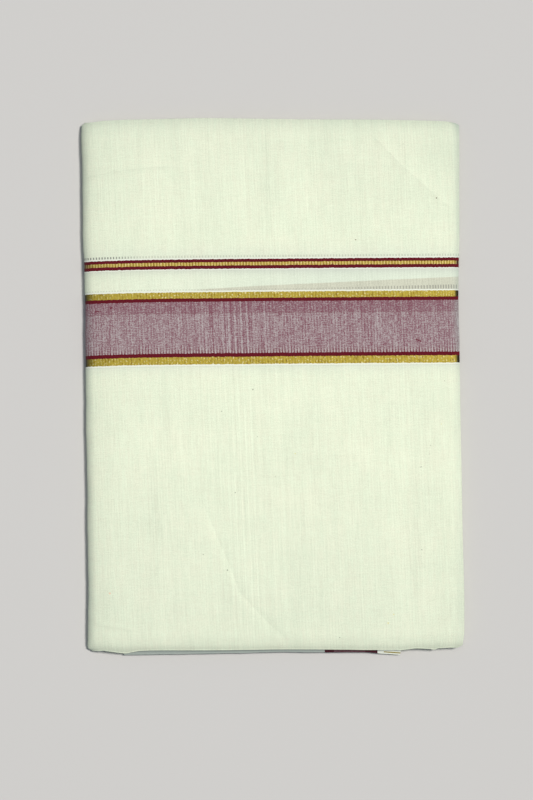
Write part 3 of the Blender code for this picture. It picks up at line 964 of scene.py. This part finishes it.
def cream_cloth(loom, lines=0):
    """Unbleached handloom cotton, on display with lines in it. Returns its colour, its relief
    and its light and dark."""
    warp = loom.streaks(0.70, 15.0, 3.1)
    long_warp = loom.streaks(1.0, 55.0, 5.3)
    weft = loom.wefts(0.70, 4.5, 41.7)
    grain = loom.mottle(1 / 1.7, 59.9)
    middle = loom.streaks(3.2, 46.0, 17.3)
    broad = loom.streaks(13.0, 90.0, 29.9)
    broad_weft = loom.wefts(5.0, 40.0, 47.7)
    tone = loom.mottle(30.0, 53.3, 2.0)
    slub = loom.streaks(0.8, 5.0, 61.1).above(0.42, 0.1)
    weft_slub = loom.wefts(0.7, 5.0, 67.9).above(0.46, 0.1)
    value = warp * 0.078 + long_warp * 0.042 + weft * 0.060 + grain * 0.140 + loom.reed * 0.013
    value = value + middle * 0.030 + broad * 0.042 + broad_weft * 0.018 + tone * 0.050
    value = value - slub * 0.022 - weft_slub * 0.018
    if lines:
        value = value + lines
        # Lines that stand out, among them painted fold shadow
        for line_mark in YARNS_AND_FOLD_SHADOWS:
            line = abs(loom.across - loom.along * line_mark.slope - line_mark.x).ramp(line_mark.reach, 0.0)
            line = line * line_mark.strength * loom.along.ramp(line_mark.start, line_mark.start + LINE_MARK_FADE)
            value = value + line * loom.along.ramp(line_mark.end, line_mark.end - LINE_MARK_FADE)
    warmth = loom.streaks(1.8, 14.0, 71.3) * 0.9 + tone * 0.8 + loom.wefts(2.2, 12.0, 73.9) * 0.6
    tint = loom.math("ADD", warmth, 0.42, clamp=True)
    colour = loom.mix(tint, loom.shade(CREAM, value), loom.shade(CREAM_WARM, value))
    return colour, warp * 0.8 + weft * 0.6, value


def paint_edge_shade(loom, colour):
    """Paint shade on the cloth towards the packet's edges. Dense maroon and gold are woven in
    later.
    """
    grey = 0
    for tone in EDGE_SHADE_RUNS:
        run = loom.along if tone.along else loom.across
        share = loom.math("POWER", run.ramp(tone.start, tone.end), tone.power) * tone.amount
        grey = grey + (share * loom.along.ramp(*UPPER_HALF) if tone.upper else share)
    return loom.mix(grey, colour, EDGE_SHADE_COLOUR)


def crest_line(loom, crease):
    """The fine line on a crest. Its path runs on in one direction, along or across."""
    path = np.array(crease.path, dtype=float)
    path[:, 1] = cloth_along(path[:, 0] * MM, path[:, 1] * MM) / MM
    spans = np.ptp(path, axis=0)
    run, side = (1, 0) if spans[1] > spans[0] else (0, 1)
    low = path.min(axis=0)
    shares = (path[np.argsort(path[:, run])] - low)[:, [run, side]] / spans[[run, side]]
    curve = loom.tree.nodes.new("ShaderNodeFloatCurve")
    points = curve.mapping.curves[0].points
    points[0].location = shares[0]
    points[1].location = shares[-1]
    for share in shares[1:-1]:
        points.new(*share)
    for point in points:
        point.handle_type = "VECTOR"
    curve.mapping.update()
    on_run, on_side = ((loom.across, loom.along)[axis] - low[axis] for axis in (run, side))
    loom.feed(curve.inputs["Value"], on_run * (1 / spans[run]))
    off = abs(on_side - Wire(loom, curve.outputs[0]) * spans[side])
    line = off.ramp(CREST_REACH * math.hypot(*spans) / spans[run], 0.0) * crease.crest
    return line * on_run.ramp(0.0, CREST_FADE) * on_run.ramp(spans[run], spans[run] - CREST_FADE)


def show_through(loom):
    """Where an under-leaf shows through the gap between the two stripe groups."""
    lines = [loom.across * slope + height for height, slope in WEDGE_LINES]
    below = (loom.math("MINIMUM", *lines) - loom.along).ramp(0.0, 0.5)
    return below * loom.across.ramp(*WEDGE_RUN)


def mauve_weave(loom, along, lines):
    """The broad band: pale yarns, maroon ones across them, and teeth at its lower side."""
    threads = loom.streaks(0.68, 4.4, 91.7, 2.0)
    long_threads = loom.streaks(0.8, 40.0, 93.1)
    broad = loom.streaks(4.5, 30.0, 97.1)
    cross = loom.wefts(0.60, 1.0, 103.9)
    picks = loom.wefts(0.70, 4.5, 105.1)
    pale = threads * 0.56 + long_threads * 0.31 + broad * 0.20 + cross * 1.03 + picks * 0.50
    pale = pale + lines * 8.5
    deeper = loom.along.above(MAUVE_DEEPER_FROM, 0.5)
    pale = loom.math("ADD", pale + loom.reed * 0.10, deeper * -0.24 + 0.41, clamp=True)
    colour = loom.mix(pale, MAUVE_DEEP, MAUVE_PALE)
    dashes = loom.wefts(0.6, 1.6, 109.3).above(0.36, 0.10)
    reds = loom.streaks(0.7, 16.0, 113.9).above(0.44, 0.08)
    thread = loom.along.between(MAUVE_DEEPER_FROM - 0.25, MAUVE_DEEPER_FROM + 0.25)
    fade = along.ramp(TEETH_TO, MAUVE[0])
    fade = fade * fade * (loom.streaks(3.0, 300.0, 119.1) * 0.5 + 0.55)
    return loom.paint(
        colour, (dashes * 0.50, MAROON), (reds * 0.40, MAROON), (thread * 0.28, MAROON),
        (fade * loom.reed.ramp(0.1, 0.9) * 0.48, WHITE),
        (fade * loom.reed.ramp(0.15, -0.5), MAROON))


def gold_weave(loom):
    """Metal-wrapped thread: ribs with painted glints and painted shade between them, and a painted
    dark reflection where it turns over the packet's edges.
    """
    ribs = loom.streaks(1.2, 2.6, 127.1) + loom.reed * 0.16
    # Painted glints and painted shade on the ribs
    glint = (loom.streaks(1.3, 1.3, 131.9) + loom.reed * 0.12).above(0.16, 0.36)
    shadow = (loom.streaks(1.3, 2.4, 137.3) - loom.reed * 0.12).above(0.12, 0.40)
    # Painted dark reflection where the gold turns over the edges
    turned_away = loom.across.ramp(*TURN_SHADE_LEFT) + loom.across.ramp(*TURN_SHADE_RIGHT)
    return loom.paint(loom.shade(GOLD, ribs * 0.30), (shadow * 0.75, GOLD_SHADE),
                      (glint * 0.85, GOLD_GLINT), (turned_away * 0.95, GOLD_TURN_SHADE)), ribs


def add_stripes(loom, cloth, value, lines):
    """Weave in both stripe groups. Returns the colour, where it is gold, and the ribs."""
    along = loom.along + loom.streaks(1.3, 30.0, 5.7) * 0.45
    fine = loom.streaks(0.9, 12.0, 83.1, 2.0)
    marks = value + loom.reed * 0.014

    gap = along.between(*GAP)
    shaded = along.ramp(*SHADED)
    # The gap turns bluish, and greys with painted shade towards the narrow group
    colour = loom.paint(
        cloth, (gap * loom.across.ramp(*BLUISH_RUN) * 0.8, loom.shade(BLUISH, marks * 0.8)),
        (gap * shaded * shaded * 0.26, PUCKER_SHADE))
    # Painted shade beside the stripe groups
    for zone in BESIDES:
        beside = along.ramp(zone.start, zone.end)
        inside = along.between(*sorted((zone.start, zone.end)))
        colour = loom.mix(beside * beside * inside * zone.share, colour, BORDER_SHADE)
    if lines:
        wedge = show_through(loom) * gap
        colour = loom.mix(wedge * 0.85, colour, loom.shade(WEDGE, marks * 1.4))
    # Rows of painted shade dots beside the stripe groups
    for row in SHADE_DOT_ROWS:
        right = loom.across.ramp(row.turn_from, row.turn_to)
        strength = right * (row.right - row.left) + row.left
        dots = loom.along.ramp(row.low - 0.2, row.low + 0.3)
        dots = dots * (loom.along - right * row.rise).ramp(row.high + 0.2, row.high - 0.3)
        colour = loom.mix(dots * loom.reed.ramp(-0.3, 0.6) * strength, colour, PUCKER_DOT_SHADE)
    white = loom.shade(WHITE, fine * 0.06 + loom.reed * 0.02)
    # Painted shade greys the cloth towards the packet's edges, before the maroon and gold go on
    colour = paint_edge_shade(loom, loom.paint(
        colour, (loom.along.between(*THIN_ROW) * 0.12, PUCKER_SHADE),
        (along.between(*MAUVE), mauve_weave(loom, along, lines)), (along.within(WHITES), white)))
    gold_colour, ribs = gold_weave(loom)
    narrow = along.between(*GOLDS[0])
    # The narrow gold: pale yarn and painted glints on its ribs, and maroon between them
    gold_colour = loom.paint(
        gold_colour, (narrow * loom.reed.ramp(-0.4, 0.8) * 0.40, NARROW_PALE_YARN_AND_GLINT),
        (narrow * loom.reed.ramp(-0.4, -1.0) * 0.30, MAROON))
    maroon = loom.mix(fine.above(0.0, 0.5), MAROON, MAROON_DARK)
    gold = along.within(GOLDS)
    return loom.paint(colour, (along.within(MAROONS), maroon), (gold, gold_colour)), gold, ribs


def add_specks(loom, colour):
    """Husk flecks and stray dyed fibres caught in the yarns."""
    spot = loom.vector(loom.across + loom.mottle(0.5, 139.0) * SPECK_ROUGH,
                       loom.along + loom.mottle(0.5, 149.0) * SPECK_ROUGH)
    for kind, specks in SPECKS.items():
        found = 0
        for speck in specks:
            away = loom.wire("ShaderNodeVectorMath", spot, (speck.x, speck.y, 0.0),
                             output="Value", operation="DISTANCE")
            found = found + loom.math("LESS_THAN", away, speck.radius)
        shown = loom.math("MULTIPLY", found, 0.85, clamp=True)
        colour = loom.mix(shown, colour, SPECK_COLOURS[kind])
    return colour


def finish_cloth(loom, colour, relief, gold=0, ribs=0):
    """Set the shader: matt cotton with a faint nap, and metal where it is gold."""
    warp, weft = (loom.math("SINE", way * (math.tau / NAP_PITCH))
                  for way in (loom.lean, loom.along))
    height = warp * weft * NAP + relief + gold * ribs * GOLD_RELIEF
    normal = loom.wire("ShaderNodeBump", BUMP_STRENGTH, BUMP_DISTANCE, height,
                       to=("Strength", "Distance", "Height"))
    finish = {**COTTON_FINISH, "Base Color": colour, "Normal": normal,
              "Metallic": gold * GOLD_METAL, "Roughness": gold * -GOLD_POLISH + ROUGHNESS}
    for name, value in finish.items():
        loom.feed(loom.shader.inputs[name], value)
    return loom.material


def striped_cotton(name, display=False):
    """Cream cotton with both stripe groups, and on display also its own marks."""
    loom = Loom(name)
    lines = strip_lines(loom) if display else 0
    cloth, relief, value = cream_cloth(loom, lines)
    colour, gold, ribs = add_stripes(loom, cloth, value, lines)
    if display:
        colour = add_specks(loom, colour)
        crests = [crest_line(loom, crease) for crease in FRONT_CREASES if crease.crest]
        relief = sum(crests, relief)
    return finish_cloth(loom, colour, relief, gold, ribs)


def plain_cotton(name):
    """Cream cotton alone, greyed with painted shade towards the edges, for the noses of the inner
    leaves.
    """
    loom = Loom(name)
    colour, relief, value = cream_cloth(loom)
    return finish_cloth(loom, paint_edge_shade(loom, colour), relief)


# The tucked-in end's lengthwise border, in mm across the packet
END_MAROONS = [(34.5, 41.0), (63.0, 71.5)]
END_MAUVE = (34.5, 71.5)
END_WHITE = (71.6, 90.0)
# One gold thread in its selvedge
END_GOLD = (76.0, 90.0)
END_GOLD_HEIGHT = (-187.7, -186.9)


def end_cotton(name):
    """The cloth's own end, greyed with painted shade where it lies under the front leaf's edge,
    with its border and white selvedge.
    """
    loom = Loom(name)
    colour, relief, value = cream_cloth(loom)
    # Painted shade: the end lies under the front leaf's edge, and greys towards the packet's edges
    colour = paint_edge_shade(loom, loom.mix(0.85, colour, END_SHADE_GREY))
    threads = loom.streaks(0.8, 20.0, 151.0, 2.0).ramp(-0.5, 1.4)
    # The end border's mauve and maroon, darkened with painted shade
    mauve = loom.mix(0.75, loom.mix(threads, MAUVE_DEEP, MAUVE_PALE), SHADED_LIP_MAROON)
    gold = loom.across.between(*END_GOLD) * loom.along.between(*END_GOLD_HEIGHT)
    ribs = loom.streaks(0.9, 1.2, 157.0, 2.0)
    colour = loom.paint(
        colour, (loom.across.between(*END_MAUVE), mauve),
        (loom.across.within(END_MAROONS), SHADED_LIP_MAROON), (loom.across.between(*END_WHITE), WHITE),
        (gold, loom.shade(GOLD, ribs * 0.3)))
    return finish_cloth(loom, colour, relief, gold, ribs)


# ---- Putting the object together ----

def dress(made, node):
    """Let a piece stand for its CAD node: hang it on the root body and hide the node."""
    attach(made, "root")
    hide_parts(node)


def build_cloth():
    front = front_sheet().make("front_cloth", striped_cotton("front_cotton", display=True))
    dress(front, "front_panel")
    materials = [plain_cotton("leaf_cotton"), striped_cotton("leaf_stripes")]
    names = [f"leaf_pair_{index + 1}" for index in range(len(LEAF_PAIRS))] + ["back_cloth"]
    for index in range(len(LEAF_PAIRS)):
        pair = pair_sheet(index).make(names[index], materials[index % 2])
        dress(pair, "folded_layers")
    end = end_sheet().make("end_cloth", end_cotton("end_cotton"))
    dress(end, "tucked_end")
    back = back_sheet().make("back_cloth", striped_cotton("back_cotton"))
    dress(back, "back_panel")


# ---- Floor, light and camera ----

FLOOR_SPAN = 16.0
FLOOR_FINISH = {"Base Color": linear(204, 203, 201), "Roughness": 0.9,
                "Specular IOR Level": 0.1}
WORLD_COLOUR = (0.86, 1.0, 1.14, 1.0)
WORLD_STRENGTH = 0.24
# The camera sees a field this long, at this height over the floor
FIELD_HEIGHT = 0.560
FIELD_LEVEL = 10.0 * MM
LENS = 150.0
SENSOR = 36.0
VIEW_CENTRE = (-4.5 * MM, -9.4 * MM)
VIEW_ROLL = math.radians(-0.60)

# The key light is a far one, which lights the floor evenly: its size is an angle
Lamp = namedtuple("Lamp", "name kind place size power colour")

LAMPS = rows(Lamp,
    ("key_light", "SUN", (1.25, 0.62, 3.0), math.radians(12), 2.52, (1.05, 1.0, 0.95)),
    ("overhead_softbox", "AREA", (0.06, 0.07, 1.06), 0.4, 1.0, (1.05, 1.0, 0.95)))


def build_floor():
    mesh = bpy.data.meshes.new("floor")
    half = FLOOR_SPAN / 2
    corners = [(-half, -half, 0.0), (half, -half, 0.0), (half, half, 0.0), (-half, half, 0.0)]
    mesh.from_pydata(corners, [], [(0, 1, 2, 3)])
    material = bpy.data.materials.new("pale_floor")
    material.use_nodes = True
    inputs = material.node_tree.nodes["Principled BSDF"].inputs
    for name, value in FLOOR_FINISH.items():
        inputs[name].default_value = value
    mesh.materials.append(material)
    link("floor", mesh)


def build_light():
    scene = bpy.context.scene
    world = bpy.data.worlds.new("studio")
    world.use_nodes = True
    background = world.node_tree.nodes["Background"]
    background.inputs[0].default_value = WORLD_COLOUR
    background.inputs[1].default_value = WORLD_STRENGTH
    scene.world = world
    scene.view_settings.view_transform = "Standard"
    low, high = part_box("front_panel")
    for lamp in LAMPS:
        light = bpy.data.lights.new(lamp.name, lamp.kind)
        if lamp.kind == "SUN":
            light.angle = lamp.size
        else:
            light.shape = "DISK"
            light.size = lamp.size
        light.energy = lamp.power
        light.color = lamp.colour
        item = link(lamp.name, light)
        item.location = lamp.place
        item.visible_camera = False
        direction = item.location - low.lerp(high, 0.5)
        item.rotation_mode = "QUATERNION"
        item.rotation_quaternion = direction.to_track_quat("Z", "Y")


def build_camera():
    data = bpy.data.cameras.new("camera")
    data.lens = LENS
    data.sensor_width = SENSOR
    data.clip_start = 0.01
    data.clip_end = 50.0
    camera = link("camera", data)
    camera.location = (*VIEW_CENTRE, FIELD_LEVEL + FIELD_HEIGHT * LENS / SENSOR)
    camera.rotation_euler = (0.0, 0.0, VIEW_ROLL)
    bpy.context.scene.camera = camera


build_floor()
build_cloth()
build_light()
build_camera()
